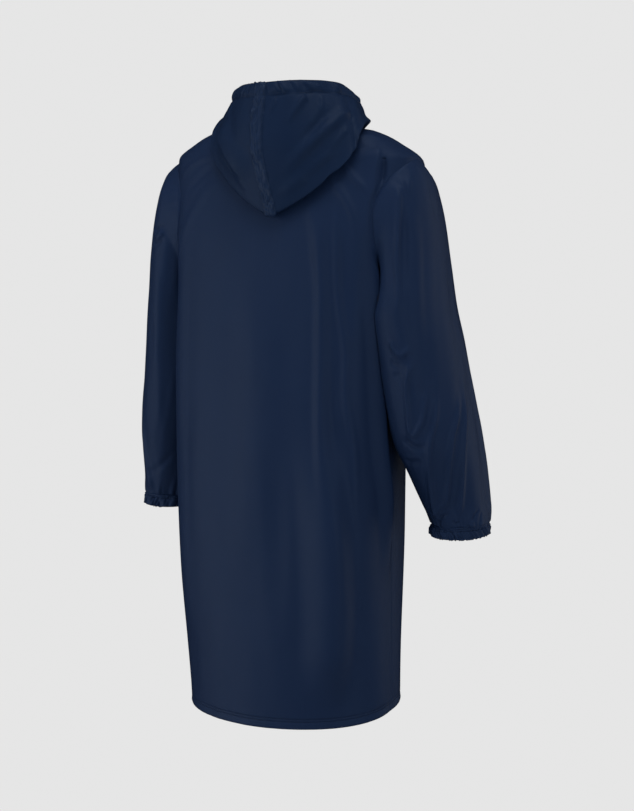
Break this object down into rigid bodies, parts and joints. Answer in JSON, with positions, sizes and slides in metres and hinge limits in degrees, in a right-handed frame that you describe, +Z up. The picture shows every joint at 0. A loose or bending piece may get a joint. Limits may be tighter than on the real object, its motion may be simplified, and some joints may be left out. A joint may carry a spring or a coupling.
{
  "type": "hooded zip-front deck coat",
  "caption": "Knee-length hooded deck coat filled out as worn, hood down: hollow body and sleeves, gathered cuffs and a front zip with a hinged pull tab.",
  "frame": {"origin": "middle of the neck, level with the tops of the shoulder seams, where the wearer's neck and shoulders hold the coat", "axes": "+Z up along the body, -Y the way the coat faces, +X the wearer's left"},
  "size_m": [0.734, 0.2903, 1.1366],
  "materials": {
    "shell_cloth": "tightly woven smooth synthetic, soft satin sheen",
    "cuff_cloth": "the same cloth, doubled and gathered",
    "zip_tape": "matte woven tape",
    "zip_teeth": "moulded, slightly shiny",
    "zip_metal": "dark satin"
  },
  "bodies": {
    "coat": {"back": "shell_cloth", "front_left": "shell_cloth", "front_right": "shell_cloth", "sleeve_left": "shell_cloth", "sleeve_right": "shell_cloth", "cuff_left": "cuff_cloth", "cuff_right": "cuff_cloth", "hood_left": "shell_cloth", "hood_right": "shell_cloth", "zip_tape_left": "zip_tape", "zip_tape_right": "zip_tape", "zip_teeth": "zip_teeth", "zip_box": "zip_teeth", "zip_slider": "zip_metal"},
    "zip_pull": {"zip_pull": "zip_metal"}
  },
  "joints": [
    {"name": "pull_hinge", "type": "hinge", "parent": "coat", "child": "zip_pull", "pos_m": [0, -0.09591, -0.10153], "axis": [-1, 0, 0], "range_deg": [0, 150]}
  ]
}
